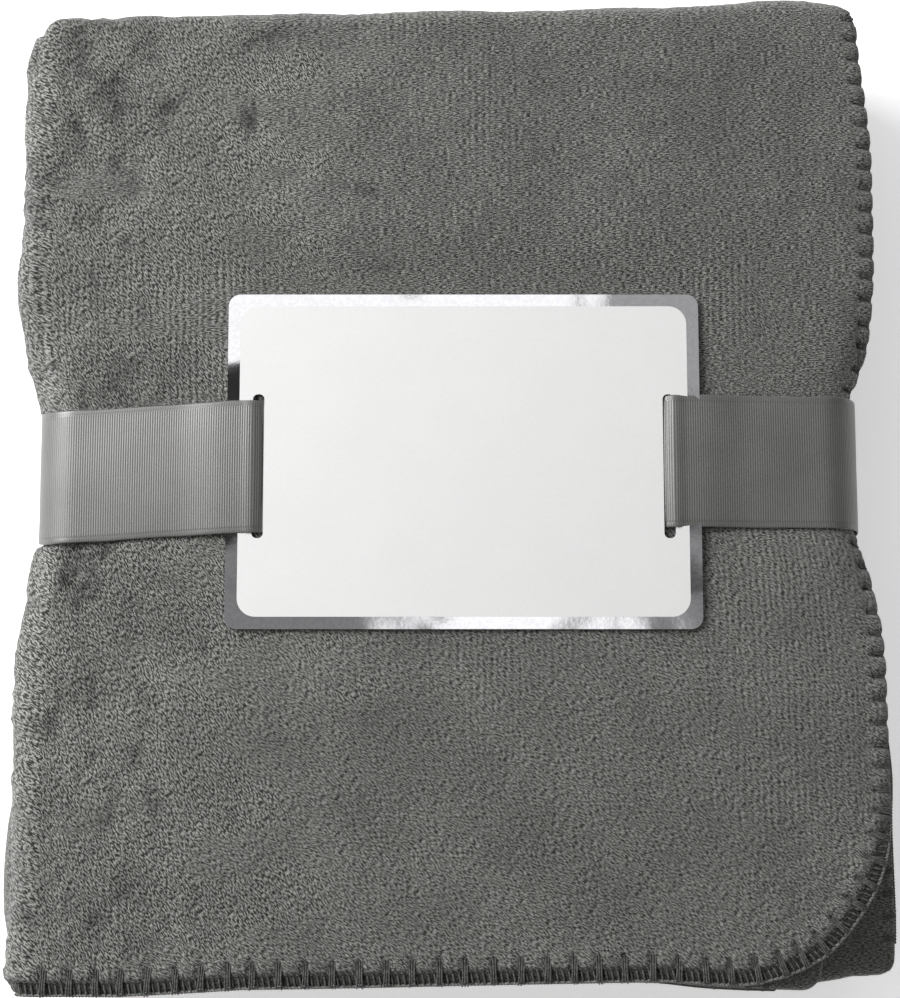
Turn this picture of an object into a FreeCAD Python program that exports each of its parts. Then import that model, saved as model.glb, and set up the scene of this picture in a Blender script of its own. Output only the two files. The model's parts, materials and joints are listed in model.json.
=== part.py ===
"""Folded throw blanket: a fleece sheet folded into a flat pack, held by a ribbon with a label card.

Millimetres, +Z up. The origin is the centre of the pack's footprint, on the surface that it
lies on. +X is the side where the free, stitched ends of the cloth lie, +Y the smooth folded end.
The cloth is folded in four across its width and in six along its length, so the pack is six
leaves of four plies. The uppermost ply is a piece of its own, and its loose corner lifts.
"""
import FreeCAD, Part
import math
import os

import Sketcher
from FreeCAD import Vector

# Driving dimensions, in millimetres unless the name says otherwise.
SIZES = {
    # folded cloth
    "leaf_count": 6,
    "plies_per_leaf": 4,
    "ply_thick": 2.75,
    "leaf_half": 132.0,
    "pack_half_length": 148.0,
    "fold_round": 9.0,
    # uppermost ply: where its edges lie at the foot, and how far they stand in elsewhere
    "ply_left": 129.0,
    "ply_right": 130.5,
    "ply_foot": 146.5,
    "ply_inset": 1.0,
    "ply_corner_round": 50.0,
    # loose corner of the uppermost ply: where its fold line meets the two free edges
    "corner_along_x": 92.0,
    "corner_along_y": 92.0,
    "corner_gap": 0.3,
    # ribbon
    "ribbon_width": 40.0,
    "ribbon_thick": 0.5,
    "ribbon_y": 5.0,
    "ribbon_round": 22.0,
    "ribbon_lap": 30.0,
    "tape_thick": 0.1,
    "tape_width": 20.0,
    # label card
    "card_width": 140.0,
    "card_height": 100.0,
    "card_round": 3.5,
    "card_x": 4.0,
    "card_y": 6.8,
    "card_lift": 0.6,
    "board_thick": 0.4,
    "foil_thick": 0.1,
    "print_thick": 0.1,
    "print_border_x": 3.6,
    "print_border_y": 3.6,
    "print_round": 5.4,
    "slot_offset": 60.7,
    "slot_width": 3.4,
    "slot_length": 43.0,
    "ride_gap": 0.1,
    # blanket stitch on the free edges
    "stitch_pitch_side": 6.6,
    "stitch_pitch_end": 7.6,
    "stitch_reach": 8.0,
    "stitch_wide": 1.9,
    "stitch_thick": 0.7,
    "wrap_thick": 1.0,
    "stitch_free": 10.5,
}

# The pack's outer shape, from the foot to the head: half width, underside, top, and the rounding
# of its long edges at each place along its length.
STATIONS = {
    "foot": {"at": -148.0, "half": 132.0, "low": 0.0, "high": 66.0, "round": 3.0},
    "lower": {"at": -60.0, "half": 131.0, "low": 0.0, "high": 66.0, "round": 3.0},
    "card_foot": {"at": -46.0, "half": 129.0, "low": 0.0, "high": 64.0, "round": 8.0},
    "waist_foot": {"at": -17.0, "half": 121.0, "low": 3.0, "high": 64.0, "round": 22.0},
    "waist_head": {"at": 27.0, "half": 121.0, "low": 3.0, "high": 64.0, "round": 22.0},
    "card_head": {"at": 60.0, "half": 127.0, "low": 0.0, "high": 64.0, "round": 8.0},
    "upper": {"at": 78.0, "half": 127.5, "low": 0.0, "high": 66.0, "round": 3.0},
    "head": {"at": 148.0, "half": 128.0, "low": 0.0, "high": 66.0, "round": 3.0},
}

# Share of a rounding that its middle point stands in from each of the two sides.
ROUND_MIDDLE = 1.0 - math.sqrt(0.5)

doc = FreeCAD.newDocument("FoldedThrow")
sheet = doc.addObject("Spreadsheet::Sheet", "Sizes")
nodes = []


def fill_sheet():
    """Writes every driving dimension into the spreadsheet, with its name as the cell's alias."""
    entries = dict(SIZES)
    for station, values in STATIONS.items():
        for quantity, value in values.items():
            entries[f"{station}_{quantity}"] = value
    for row, (alias, value) in enumerate(entries.items(), start=1):
        sheet.set(f"A{row}", alias)
        sheet.set(f"B{row}", str(value))
        sheet.setAlias(f"B{row}", alias)
    doc.recompute()


def of(alias):
    """The value of a driving dimension, read back from the spreadsheet."""
    return float(sheet.get(alias))


def keep(feature, node):
    """Registers a finished sub-part: its label names its file."""
    feature.Label = node
    nodes.append(feature)
    return feature


def add_polygon(sketch, corners):
    """Adds a closed outline through corners, each a pair of expressions over the sheet."""
    count = len(corners)
    start = [
        Vector(math.cos(math.tau * i / count), math.sin(math.tau * i / count), 0) * 100
        for i in range(count)
    ]
    first = sketch.GeometryCount
    for i in range(count):
        sketch.addGeometry(Part.LineSegment(start[i], start[(i + 1) % count]), False)
    for i in range(count):
        following = first + (i + 1) % count
        sketch.addConstraint(Sketcher.Constraint("Coincident", first + i, 2, following, 1))
    for i, (across, along) in enumerate(corners):
        for kind, rest, rule in (
            ("DistanceX", start[i].x, across),
            ("DistanceY", start[i].y, along),
        ):
            place = sketch.addConstraint(
                Sketcher.Constraint(kind, -1, 1, first + i, 1, rest)
            )
            sketch.setExpression(f"Constraints[{place}]", rule)


def rectangle(left, right, low, high):
    return [(left, low), (right, low), (right, high), (left, high)]


def body_sketch(body, name, plane, *outlines):
    """A sketch on one of the body's own origin planes, holding the given outlines."""
    sketch = body.newObject("Sketcher::SketchObject", name)
    support = next(f for f in body.Origin.OriginFeatures if f.Role == plane)
    sketch.AttachmentSupport = [(support, "")]
    sketch.MapMode = "FlatFace"
    for outline in outlines:
        add_polygon(sketch, outline)
    return sketch


def place(feature, x="0", y="0", z="0"):
    """Binds the place of a feature to expressions over the sheet."""
    for axis, rule in (("x", x), ("y", y), ("z", z)):
        feature.setExpression(f".Placement.Base.{axis}", rule)


def padded_body(name, plane, thickness, *outlines, midplane=False):
    """A body that is one sketch of outlines, padded to a thickness."""
    body = doc.addObject("PartDesign::Body", name)
    sketch = body_sketch(body, name + "_sketch", plane, *outlines)
    pad = body.newObject("PartDesign::Pad", name + "_pad")
    pad.Profile = sketch
    pad.Midplane = midplane
    pad.setExpression("Length", thickness)
    sketch.Visibility = False
    doc.recompute()
    return body


def round_edges(body, name, radius, chosen):
    """Fillets the body's edges for which chosen(edge) is true."""
    base = body.Tip
    picked = [f"Edge{i + 1}" for i, e in enumerate(base.Shape.Edges) if chosen(e)]
    fillet = body.newObject("PartDesign::Fillet", name)
    fillet.Base = (base, picked)
    fillet.setExpression("Radius", radius)
    doc.recompute()
    return body


def upright(edge):
    """True for a straight edge along Z."""
    ends = [v.Point for v in edge.Vertexes]
    return len(ends) == 2 and abs(abs(ends[0].z - ends[1].z) - edge.Length) < 1e-6


def make_envelope():
    """The pack's outer shape, lofted straight from station to station along its length."""
    sections = []
    for station in STATIONS:
        part = f"Sizes.{station}_"
        half, low, high, turn = part + "half", part + "low", part + "high", part + "round"
        near = f"{turn} * {ROUND_MIDDLE}"
        quarter = [
            (f"{half} - {turn}", "0"),
            (f"{half} - {near}", near),
            (half, turn),
        ]
        corners = [(across, f"{low} + {up}") for across, up in quarter]
        corners += [(across, f"{high} - ({up})") for across, up in reversed(quarter)]
        corners += [(f"-({across})", f"{high} - ({up})") for across, up in quarter]
        corners += [(f"-({across})", f"{low} + {up}") for across, up in reversed(quarter)]
        sketch = doc.addObject("Sketcher::SketchObject", station + "_section")
        sketch.Placement.Rotation = FreeCAD.Rotation(Vector(1, 0, 0), 90)
        add_polygon(sketch, corners)
        sketch.setExpression(".Placement.Base.y", part + "at")
        sections.append(sketch)
    loft = doc.addObject("Part::Loft", "envelope")
    loft.Sections = sections
    loft.Solid = True
    loft.Ruled = True
    doc.recompute()
    return loft


def trimmed(kind, name, base, tool):
    """A boolean of two features: kind is Part::Common or Part::Cut."""
    feature = doc.addObject(kind, name)
    feature.Base = base
    feature.Tool = tool
    doc.recompute()
    return feature


def make_leaves(envelope):
    """Six leaves of four plies. Each is rounded where the cloth turns into the leaf beside it."""
    count = int(of("leaf_count"))
    leaf_thick = "Sizes.ply_thick * Sizes.plies_per_leaf"
    for number in range(1, count + 1):
        topmost = number == count
        name = f"cloth_leaf_{number}"
        thick = leaf_thick + (" - Sizes.ply_thick" if topmost else "")
        across = rectangle("-Sizes.leaf_half", "Sizes.leaf_half", "0", thick)
        slab = padded_body(
            name + "_slab", "XZ_Plane", "2 * Sizes.pack_half_length", across, midplane=True
        )
        # An even leaf is folded at its left into the leaf below it and at its right into the
        # leaf above it, so its left edge is round on top and its right edge underneath.
        side_above = 1 if number % 2 == 0 else -1
        turns = []
        if not topmost:
            turns.append((side_above, 0.0))
        if 1 < number < count:
            turns.append((-side_above, of("ply_thick") * of("plies_per_leaf")))
        half = of("leaf_half")

        def at_turn(edge, turns=turns, half=half):
            middle = edge.CenterOfMass
            return any(
                abs(middle.x - side * half) < 1e-6 and abs(middle.z - height) < 1e-6
                for side, height in turns
            )

        if turns:
            round_edges(slab, name + "_fold", "Sizes.fold_round", at_turn)
        place(slab, z=f"{number - 1} * {leaf_thick}")
        keep(trimmed("Part::Common", name, slab, envelope), name)


def ply_outline():
    """The uppermost ply's outline, with a sharp foot corner that is rounded afterwards."""
    right = [("Sizes.ply_right", "-Sizes.ply_foot")]
    left = [("-Sizes.ply_left", "-Sizes.ply_foot")]
    for station in list(STATIONS)[1:]:
        here = f"Sizes.{station}_"
        right.append((here + "half - Sizes.ply_inset", here + "at"))
        left.append((f"-{here}half + Sizes.ply_inset", here + "at"))
    return right + list(reversed(left))


def make_top_ply(envelope):
    """The uppermost ply and its loose corner, which lifts about a line across the corner."""
    ply = padded_body("ply_blank", "XY_Plane", "Sizes.ply_thick", ply_outline())

    def foot_corner(edge):
        middle = edge.CenterOfMass
        foot = abs(middle.y + of("ply_foot")) < 1e-6
        return upright(edge) and foot and middle.x > 0

    round_edges(ply, "ply_corner", "Sizes.ply_corner_round", foot_corner)
    top_of_leaves = "Sizes.ply_thick * (Sizes.plies_per_leaf * Sizes.leaf_count - 1)"
    place(ply, z=top_of_leaves)
    whole = trimmed("Part::Common", "ply_whole", ply, envelope)

    reach = "Sizes.pack_half_length + 20"
    along_x = "Sizes.ply_right - Sizes.corner_along_x"
    along_y = "Sizes.corner_along_y - Sizes.ply_foot"
    for node, gap, kind in (
        ("corner_cut", "0", "Part::Cut"),
        ("corner_flap", "Sizes.corner_gap", "Part::Common"),
    ):
        slope = [
            (f"{along_x} - 20 + {gap}", f"-({reach})"),
            (f"Sizes.ply_right + 20 + {gap}", f"-({reach})"),
            (f"Sizes.ply_right + 20 + {gap}", f"{along_y} + 20"),
        ]
        prism = padded_body(node + "_prism", "XY_Plane", "Sizes.leaf_half", slope)
        feature = trimmed(kind, node, whole, prism)
        keep(feature, "top_ply" if kind == "Part::Cut" else node)


def stitch_shape(pitch):
    """One blanket stitch: a bar of yarn on the cloth and a wrap over its edge, from the edge
    towards -Y, with the run of the edge along X."""
    thick, wide, reach = of("stitch_thick"), of("stitch_wide"), of("stitch_reach")
    wrap = of("wrap_thick")
    height = of("ply_thick")
    bar = Part.makeBox(wide, reach, thick, Vector(-wide / 2, -reach, 0))
    over = Part.makeBox(pitch * 0.92, wrap, height + thick, Vector(-pitch * 0.46, 0, -height))
    return bar.fuse(over).removeSplitter()


def stitch_row(start, end, pitch_name):
    """A row of separate stitches from start to end, with the cloth on the right-hand side."""
    run = end - start
    count = int(run.Length // of(pitch_name))
    turn = FreeCAD.Rotation(Vector(0, 0, 1), math.degrees(math.atan2(run.y, run.x)))
    stitches = []
    for i in range(count):
        stitch = stitch_shape(of(pitch_name))
        stitch.Placement = FreeCAD.Placement(start + run * ((i + 0.5) / count), turn)
        stitches.append(stitch)
    return stitches


def make_stitching():
    """Yarn on the two free edges of the uppermost ply and round its loose corner."""
    top = of("ply_thick") * of("plies_per_leaf") * of("leaf_count")
    foot, right = -of("ply_foot"), of("ply_right")
    turn = of("ply_corner_round")
    inset = of("ply_inset")
    lower = Vector(of("lower_half") - inset, of("lower_at"), top)
    corner_top = Vector(right, foot + of("corner_along_y"), top)
    corner_foot = Vector(right - of("corner_along_x"), foot, top)
    centre = Vector(right - turn, foot + turn, top)
    # No stitch straddles the fold line of the loose corner.
    corner_side_start = corner_top - Vector(0, of("stitch_free"), 0)
    corner_end_finish = corner_foot + Vector(of("stitch_free"), 0, 0)

    head_run = stitch_row(
        Vector(of("head_half") - inset, of("head_at"), top),
        Vector(of("upper_half") - inset, of("upper_at"), top),
        "stitch_pitch_side",
    )
    side_run = stitch_row(lower, corner_top, "stitch_pitch_side")
    end_run = stitch_row(corner_foot, Vector(-of("ply_left"), foot, top), "stitch_pitch_end")
    steps = int(turn * math.pi / 2 // of("stitch_pitch_end"))
    corner = stitch_row(
        corner_side_start, Vector(right, foot + turn, top), "stitch_pitch_side"
    )
    for i in range(steps):
        angle = -math.pi / 2 * (i + 0.5) / steps
        outward = Vector(math.cos(angle), math.sin(angle), 0)
        stitch = stitch_shape(of("stitch_pitch_end"))
        facing = FreeCAD.Rotation(Vector(0, 0, 1), math.degrees(angle) - 90)
        stitch.Placement = FreeCAD.Placement(centre + outward * turn, facing)
        corner.append(stitch)
    corner += stitch_row(
        Vector(right - turn, foot, top), corner_end_finish, "stitch_pitch_end"
    )
    for node, stitches in (
        ("edge_yarn_side", head_run + side_run),
        ("edge_yarn_end", end_run),
        ("edge_yarn_corner", corner),
    ):
        feature = doc.addObject("Part::Feature", node)
        feature.Shape = Part.makeCompound(stitches)
        keep(feature, node)


def card_levels():
    """Expressions for the heights of the card's layers and of the ribbon's front runs."""
    seat = "Sizes.waist_head_high"
    board = f"{seat} + Sizes.card_lift"
    foil = f"{board} + Sizes.board_thick"
    ink = f"{foil} + Sizes.foil_thick"
    front = f"{ink} + Sizes.print_thick + Sizes.ride_gap"
    return board, foil, ink, front


def make_ribbon():
    """The wrap ribbon: two runs that lap at the back, and the run behind the card."""
    front = card_levels()[3]
    thick = "Sizes.ribbon_thick"
    slot = "Sizes.slot_offset"
    for node, side, under in (
        ("ribbon_left", "-1", "0"),
        ("ribbon_right", "1", "(Sizes.ribbon_thick + Sizes.tape_thick)"),
    ):
        inner = "Sizes.waist_head_half"
        low = f"Sizes.waist_head_low - {under}"
        slot_at = f"Sizes.card_x + ({side}) * {slot} - ({side}) * {thick} / 2"
        lap_at = f"-({side}) * Sizes.ribbon_lap / 2"
        outline = [
            (slot_at, front),
            (f"({side}) * {inner}", front),
            (f"({side}) * {inner}", low),
            (lap_at, low),
            (lap_at, f"{low} - {thick}"),
            (f"({side}) * ({inner} + {thick})", f"{low} - {thick}"),
            (f"({side}) * ({inner} + {thick})", f"{front} + {thick}"),
            (slot_at, f"{front} + {thick}"),
        ]
        body = padded_body(node, "XZ_Plane", "Sizes.ribbon_width", outline, midplane=True)
        for reach, radius in (
            (of("waist_head_half"), "Sizes.ribbon_round"),
            (of("waist_head_half") + of("ribbon_thick"), f"Sizes.ribbon_round + {thick}"),
        ):

            def along_turn(edge, reach=reach):
                ends = [v.Point for v in edge.Vertexes]
                lies_along = len(ends) == 2 and abs(abs(ends[0].y - ends[1].y) - edge.Length) < 1e-6
                return lies_along and abs(abs(ends[0].x) - reach) < 1e-6

            name = node + ("_inside" if reach == of("waist_head_half") else "_outside")
            round_edges(body, name, radius, along_turn)
        place(body, y="Sizes.ribbon_y")
        keep(body, node)

    seat = "Sizes.waist_head_high"
    left, right = f"Sizes.card_x - {slot}", f"Sizes.card_x + {slot}"
    behind = [
        (f"{left} - {thick} / 2", seat),
        (f"{right} + {thick} / 2", seat),
        (f"{right} + {thick} / 2", front),
        (f"{right} - {thick} / 2", front),
        (f"{right} - {thick} / 2", f"{seat} + {thick}"),
        (f"{left} + {thick} / 2", f"{seat} + {thick}"),
        (f"{left} + {thick} / 2", front),
        (f"{left} - {thick} / 2", front),
    ]
    run = padded_body("ribbon_behind_card", "XZ_Plane", "Sizes.ribbon_width", behind, midplane=True)
    place(run, y="Sizes.ribbon_y")
    keep(run, "ribbon_behind_card")

    tape = doc.addObject("Part::Box", "ribbon_tape")
    tape.setExpression("Length", "Sizes.tape_width")
    tape.setExpression("Width", "Sizes.ribbon_width - 4")
    tape.setExpression("Height", "Sizes.tape_thick")
    place(
        tape,
        x="-Sizes.tape_width / 2",
        y="Sizes.ribbon_y - Sizes.ribbon_width / 2 + 2",
        z="Sizes.waist_head_low - Sizes.ribbon_thick - Sizes.tape_thick",
    )
    keep(tape, "ribbon_tape")


def make_card():
    """The label card: board, mirror foil and a white printed panel, all cut by two slots."""
    board, foil, ink, _ = card_levels()
    half_slot = "Sizes.slot_width / 2"
    slot_middle = "(Sizes.ribbon_y - Sizes.card_y)"
    slots = [
        rectangle(
            f"({side}) * Sizes.slot_offset - {half_slot}",
            f"({side}) * Sizes.slot_offset + {half_slot}",
            f"{slot_middle} - Sizes.slot_length / 2",
            f"{slot_middle} + Sizes.slot_length / 2",
        )
        for side in ("-1", "1")
    ]
    layers = (
        ("card_board", board, "Sizes.board_thick", "0", "0", "Sizes.card_round"),
        ("card_foil", foil, "Sizes.foil_thick", "0", "0", "Sizes.card_round"),
        (
            "card_print",
            ink,
            "Sizes.print_thick",
            "Sizes.print_border_x",
            "Sizes.print_border_y",
            "Sizes.print_round",
        ),
    )
    for node, height, thick, border_x, border_y, radius in layers:
        half_x = f"Sizes.card_width / 2 - {border_x}"
        half_y = f"Sizes.card_height / 2 - {border_y}"
        outline = rectangle(f"-({half_x})", half_x, f"-({half_y})", half_y)
        body = padded_body(node, "XY_Plane", thick, outline, *slots)
        outermost = body.Tip.Shape.BoundBox.XMax

        def outer_corner(edge, outermost=outermost):
            return upright(edge) and abs(abs(edge.CenterOfMass.x) - outermost) < 1e-6

        def slot_end(edge):
            near = abs(abs(edge.CenterOfMass.x) - of("slot_offset")) < of("slot_width")
            return upright(edge) and near

        round_edges(body, node + "_corners", radius, outer_corner)
        round_edges(body, node + "_slots", "Sizes.slot_width * 0.45", slot_end)
        place(body, x="Sizes.card_x", y="Sizes.card_y", z=height)
        keep(body, node)


def check_and_export():
    """Stops on any failed object or bad shape, then writes each sub-part's file."""
    doc.recompute()
    for item in doc.Objects:
        if {"Invalid", "Error"} & set(item.State):
            raise RuntimeError(f"{item.Name} failed: {item.State}")
    os.makedirs("parts", exist_ok=True)
    for feature in nodes:
        shape = feature.Shape
        if shape.isNull() or not shape.isValid() or not shape.Solids:
            raise RuntimeError(f"{feature.Label} has no valid solid")
        shape.exportStep(f"parts/{feature.Label}.step")
        box = shape.BoundBox
        print(
            f"{feature.Label}: {len(shape.Solids)} solid(s), {shape.Volume:.0f} mm3,"
            f" X {box.XMin:.2f}..{box.XMax:.2f} Y {box.YMin:.2f}..{box.YMax:.2f}"
            f" Z {box.ZMin:.2f}..{box.ZMax:.2f}"
        )


fill_sheet()
pack_shape = make_envelope()
make_leaves(pack_shape)
make_top_ply(pack_shape)
make_stitching()
make_ribbon()
make_card()
check_and_export()
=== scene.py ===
"""Looks of the folded fleece throw: cloth, blanket stitch, ribbon band and label card.

Lengths are worked out in millimetres and scaled to metres when a mesh is made. The cloth is one
sheet, folded in four across its width and in six along its length. A point of the sheet has two
coordinates, u along the folded strip and v across it, and cloth_middle says where it lies.
"""
import json
import math

import bpy
import mathutils
import numpy as np
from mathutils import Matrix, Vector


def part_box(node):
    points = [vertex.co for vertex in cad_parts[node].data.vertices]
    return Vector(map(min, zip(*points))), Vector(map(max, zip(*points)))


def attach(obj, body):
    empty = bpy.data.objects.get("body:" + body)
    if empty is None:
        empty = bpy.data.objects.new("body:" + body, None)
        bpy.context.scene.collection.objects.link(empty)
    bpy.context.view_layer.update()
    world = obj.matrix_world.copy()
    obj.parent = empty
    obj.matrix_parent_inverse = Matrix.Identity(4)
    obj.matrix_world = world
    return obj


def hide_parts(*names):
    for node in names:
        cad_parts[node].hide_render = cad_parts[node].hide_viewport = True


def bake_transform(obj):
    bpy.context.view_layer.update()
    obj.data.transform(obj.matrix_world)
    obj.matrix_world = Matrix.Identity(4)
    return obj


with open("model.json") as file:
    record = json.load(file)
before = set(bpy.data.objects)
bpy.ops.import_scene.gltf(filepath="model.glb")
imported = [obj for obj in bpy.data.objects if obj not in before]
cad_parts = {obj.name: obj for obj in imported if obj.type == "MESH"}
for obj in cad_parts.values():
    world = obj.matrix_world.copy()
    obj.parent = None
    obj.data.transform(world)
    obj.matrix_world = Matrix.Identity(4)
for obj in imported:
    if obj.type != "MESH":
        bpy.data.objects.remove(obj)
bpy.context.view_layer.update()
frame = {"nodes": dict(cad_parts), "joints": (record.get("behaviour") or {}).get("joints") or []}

MM = 0.001


def node_box(node):
    """A CAD node's lowest and highest corners, in millimetres."""
    low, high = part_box(node)
    return np.array(low) / MM, np.array(high) / MM


# ---- sizes from the frame

LEAF_LOW, LEAF_HIGH = node_box("cloth_leaf_1")
LEAF = LEAF_HIGH[2] - LEAF_LOW[2]
LEAVES = 6
PLY = LEAF / 4
PACK_TOP = node_box("top_ply")[1][2]
HALF_LENGTH = LEAF_HIGH[1]
RIBBON_LOW, RIBBON_HIGH = node_box("ribbon_left")
RIBBON_Y = (RIBBON_LOW[1] + RIBBON_HIGH[1]) / 2
RIBBON_HALF = (RIBBON_HIGH[1] - RIBBON_LOW[1]) / 2
RIBBON_THICK = 0.5
WAIST_HALF = -RIBBON_LOW[0] + 0.6
WAIST_LOW = RIBBON_LOW[2] + RIBBON_THICK
RIBBON_FRONT = RIBBON_HIGH[2] - RIBBON_THICK
FRONT_MIDDLE = RIBBON_FRONT + RIBBON_THICK / 2
WAIST_ROUND = 12.0
CARD_LOW, CARD_HIGH = node_box("card_board")
CARD_MIDDLE = (CARD_LOW + CARD_HIGH) / 2
CARD_HALF = (CARD_HIGH - CARD_LOW) / 2
BEHIND_LOW, BEHIND_HIGH = node_box("ribbon_behind_card")
WAIST_TOP = BEHIND_LOW[2]
BEHIND_MIDDLE = WAIST_TOP + RIBBON_THICK / 2
JOINTS = {joint["name"]: joint for joint in frame["joints"]}
CARD_TRAVEL = [reach / MM for reach in JOINTS["card_slide"]["range_m"]]

# ---- sizes of the looks

CLOTH_THICK = 2.6
HALF_WIDTH = 132.0
EDGE_RIGHT = 131.0
EDGE_FOOT = -HALF_LENGTH + 1.0
TURN_LEFT = -129.0
TURN_RIGHT = 129.0
FREE_CORNER = 54.0
ROUND_X, ROUND_Y = EDGE_RIGHT - FREE_CORNER, EDGE_FOOT + FREE_CORNER
STRIP_TURN = LEAF / 2
OUTER_PLY = 1.5 * PLY
INNER_PLY = 0.5 * PLY
LEFT_CENTRE = TURN_LEFT + STRIP_TURN + OUTER_PLY
RIGHT_CENTRE = TURN_RIGHT - STRIP_TURN - OUTER_PLY
HEAD_CENTRE = HALF_LENGTH - OUTER_PLY - CLOTH_THICK / 2
FOOT_CENTRE = -HALF_LENGTH + 1.0 + INNER_PLY + CLOTH_THICK / 2

RUN_END = EDGE_RIGHT - LEFT_CENTRE
RUN = RIGHT_CENTRE - LEFT_CENTRE
STRIP_ARC = math.pi * STRIP_TURN
STRIP_RUNS = [RUN_END] + [RUN] * (LEAVES - 2) + [RUN_END]
STRIP_STEPS = [RUN_END] + [STRIP_ARC, RUN] * (LEAVES - 2) + [STRIP_ARC, RUN_END]
LEAF_ENDS = np.cumsum([run + STRIP_ARC for run in STRIP_RUNS[:-1]])
STRIP_LENGTH = sum(STRIP_RUNS) + STRIP_ARC * (LEAVES - 1)
PLY_RUN_EDGE = HEAD_CENTRE - EDGE_FOOT
PLY_RUN = HEAD_CENTRE - FOOT_CENTRE
HEAD_OUTER_ARC = math.pi * OUTER_PLY
INNER_ARC = math.pi * INNER_PLY
WIDTH_STEPS = [
    PLY_RUN_EDGE, HEAD_OUTER_ARC, PLY_RUN, INNER_ARC, PLY_RUN, INNER_ARC, PLY_RUN_EDGE,
]
WIDTH_MARKS = np.cumsum([0.0] + WIDTH_STEPS)
SHEET_WIDTH = sum(WIDTH_STEPS)

# How the pack lies: the rise of its middle, the drop of its edges, and how far the ribbon
# draws the cloth in and the card presses it down.
CROWN = 4.2
EDGE_SINK = 2.9
WAIST_REACH = 42.0
SEAT_REACH = 24.0
CORNER_REACH = 70.0

# The pack's soft corners: side in X, side in Y and radius. Lower leaves are rounder at the foot.
SOFT_CORNERS = ((-1, 1, 13.0), (1, 1, 8.0), (-1, -1, 5.0), (1, -1, 6.0))
LOWER_CORNER = 16.0
LAST_CORNER = 7.0

# The head and foot edges aren't straight: places across, and how far each lies off the line.
HEAD_EDGE_X = (-128, -60, 0, 60, 95, 112, 131)
HEAD_EDGE_Y = (-2.2, -1.9, -1.2, 0.3, 2.4, 2.6, 0.4)
FOOT_EDGE_X = (-120, -95, -60, 0, 60, 85, 108, 120)
FOOT_EDGE_Y = (-1.0, -0.6, 1.6, 2.6, 3.3, 1.7, 0.7, 2.5)

SIDE_PITCH = 6.7
FOOT_PITCH = 7.6
TOP_REACH = 7.6
UNDER_REACH = 7.0
LOOP_PITCH = 1.75
RIM_PITCH = 1.9
YARN_RADIUS = 0.29
RIM_RADIUS = 0.3

RIB_PITCH = 0.71
LAP_END = -15.0
LAP_DROP = 0.6
LEFT_SLACK = 0.9


# ---- helpers

def smooth(t):
    t = np.clip(t, 0.0, 1.0)
    return t * t * (3 - 2 * t)


def noise(a, b, seed):
    """Smooth repeatable noise from -1 to 1. a and b count in cells."""
    size = 64
    table = np.random.RandomState(seed).uniform(-1, 1, (size, size))
    a, b = np.broadcast_arrays(np.asarray(a, float), np.asarray(b, float))
    i, j = np.floor(a).astype(int), np.floor(b).astype(int)
    f, g = smooth(a - i), smooth(b - j)
    i0, j0, i1, j1 = i % size, j % size, (i + 1) % size, (j + 1) % size
    low = table[i0, j0] * (1 - f) + table[i1, j0] * f
    high = table[i0, j1] * (1 - f) + table[i1, j1] * f
    return low * (1 - g) + high * g


def unit(vector):
    return vector / np.maximum(np.linalg.norm(vector, axis=-1, keepdims=True), 1e-9)


def mesh_object(name, points, faces, material, uv=None):
    """A smooth-shaded object from points and quads. Points and uv are given in millimetres."""
    mesh = bpy.data.meshes.new(name)
    points = np.asarray(points, float).reshape(-1, 3) * MM
    faces = np.asarray(faces, np.int32).reshape(-1, 4)
    mesh.vertices.add(len(points))
    mesh.vertices.foreach_set("co", points.ravel())
    mesh.loops.add(faces.size)
    mesh.loops.foreach_set("vertex_index", faces.ravel())
    mesh.polygons.add(len(faces))
    mesh.polygons.foreach_set("loop_start", np.arange(0, faces.size, 4, dtype=np.int32))
    mesh.polygons.foreach_set("use_smooth", np.ones(len(faces), bool))
    if uv is not None:
        layer = mesh.uv_layers.new(name="cloth")
        flat = np.asarray(uv, float).reshape(-1, 2)[faces.ravel()] * MM
        layer.data.foreach_set("uv", flat.ravel())
    mesh.update()
    mesh.validate()
    piece = bpy.data.objects.new(name, mesh)
    bpy.context.scene.collection.objects.link(piece)
    piece.data.materials.append(material)
    return piece


def grid_normals(points):
    """Unit normals of a grid of points, towards the outer side of the cloth."""
    return unit(-np.cross(np.gradient(points, axis=0), np.gradient(points, axis=1)))


def shell_faces(rows, columns):
    """Quads of a closed shell over a grid: outer layer, inner layer and the rim between them."""
    index = np.arange(rows * columns).reshape(rows, columns)
    a, b, c, d = index[:-1, :-1], index[1:, :-1], index[1:, 1:], index[:-1, 1:]
    outer = np.stack([a, d, c, b], -1).reshape(-1, 4)
    inner = np.stack([a, b, c, d], -1).reshape(-1, 4) + rows * columns
    loop = np.concatenate([index[:, 0], index[-1, 1:], index[-2::-1, -1], index[0, -2:0:-1]])
    following = np.roll(loop, -1)
    rim = np.stack([loop, following, following + rows * columns, loop + rows * columns], -1)
    return np.concatenate([outer, inner, rim])


# ---- the folded sheet

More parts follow.
